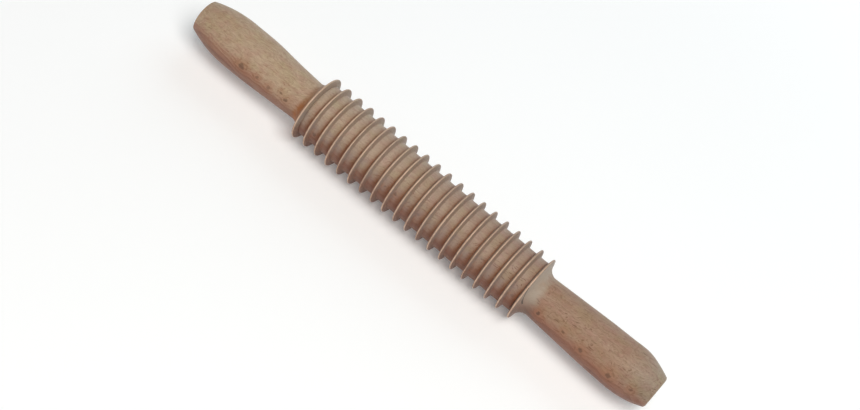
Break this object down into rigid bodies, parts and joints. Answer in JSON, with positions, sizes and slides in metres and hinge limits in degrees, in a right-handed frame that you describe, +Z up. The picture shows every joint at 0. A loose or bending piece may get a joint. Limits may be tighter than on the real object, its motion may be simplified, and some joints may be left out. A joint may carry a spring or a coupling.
{
  "type": "foot massage roller",
  "caption": "Wooden foot massage roller: a ridged barrel turns on an axle between two flared handles.",
  "frame": {"origin": "centre of the roller, on the axle's axis, midway between the two handle ends", "axes": "+X along the axle towards the right handle, +Z up, +Y away from the viewer"},
  "size_m": [0.398, 0.0492, 0.0492],
  "materials": {
    "barrel_wood": "turned beech, thin oil, satin",
    "handle_wood": "turned beech, thin oil, satin",
    "steel": "drawn bar, satin",
    "nylon": "natural nylon, matte",
    "brass": "turned brass"
  },
  "bodies": {
    "frame": {"left_handle": "handle_wood", "right_handle": "handle_wood", "axle": "steel", "left_washer": "steel", "right_washer": "steel", "left_insert": "brass", "right_insert": "brass"},
    "barrel": {"barrel": "barrel_wood", "left_bush": "nylon", "right_bush": "nylon"}
  },
  "joints": [
    {"name": "barrel_spin", "type": "hinge", "parent": "frame", "child": "barrel", "pos_m": [0, 0, 0], "axis": [1, 0, 0], "continuous": true}
  ]
}
